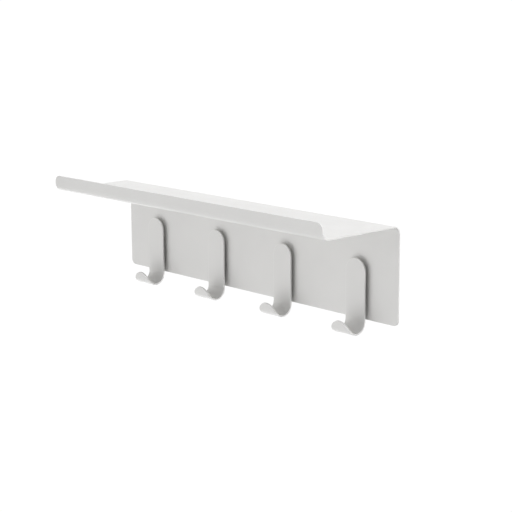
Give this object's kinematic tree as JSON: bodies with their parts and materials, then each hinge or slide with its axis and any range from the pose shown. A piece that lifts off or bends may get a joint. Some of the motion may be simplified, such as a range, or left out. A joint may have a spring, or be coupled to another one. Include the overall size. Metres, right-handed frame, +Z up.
{
  "type": "wall coat rack with shelf",
  "caption": "Wall coat rack in white coated sheet steel: back plate, shelf and upturned lip folded from one sheet, with flat strip J hooks standing off the plate.",
  "frame": {"origin": "on the wall, at the back of the plate, midway between the two wall screws", "axes": "+X along the rack, +Y into the wall, -Y into the room, +Z up"},
  "size_m": [0.6, 0.152, 0.1847],
  "materials": {
    "white_powder_coat": "matte fine-texture powder coat on steel, slightly warm white",
    "zinc_plate": "bright zinc-plated steel, satin"
  },
  "bodies": {
    "root": {"rack_panel": "white_powder_coat", "hook_1": "white_powder_coat", "hook_2": "white_powder_coat", "hook_3": "white_powder_coat", "hook_4": "white_powder_coat", "upper_standoff_1": "zinc_plate", "upper_standoff_2": "zinc_plate", "upper_standoff_3": "zinc_plate", "upper_standoff_4": "zinc_plate", "lower_standoff_1": "zinc_plate", "lower_standoff_2": "zinc_plate", "lower_standoff_3": "zinc_plate", "lower_standoff_4": "zinc_plate", "upper_screw_1": "zinc_plate", "upper_screw_2": "zinc_plate", "upper_screw_3": "zinc_plate", "upper_screw_4": "zinc_plate", "lower_screw_1": "zinc_plate", "lower_screw_2": "zinc_plate", "lower_screw_3": "zinc_plate", "lower_screw_4": "zinc_plate"}
  },
  "joints": []
}
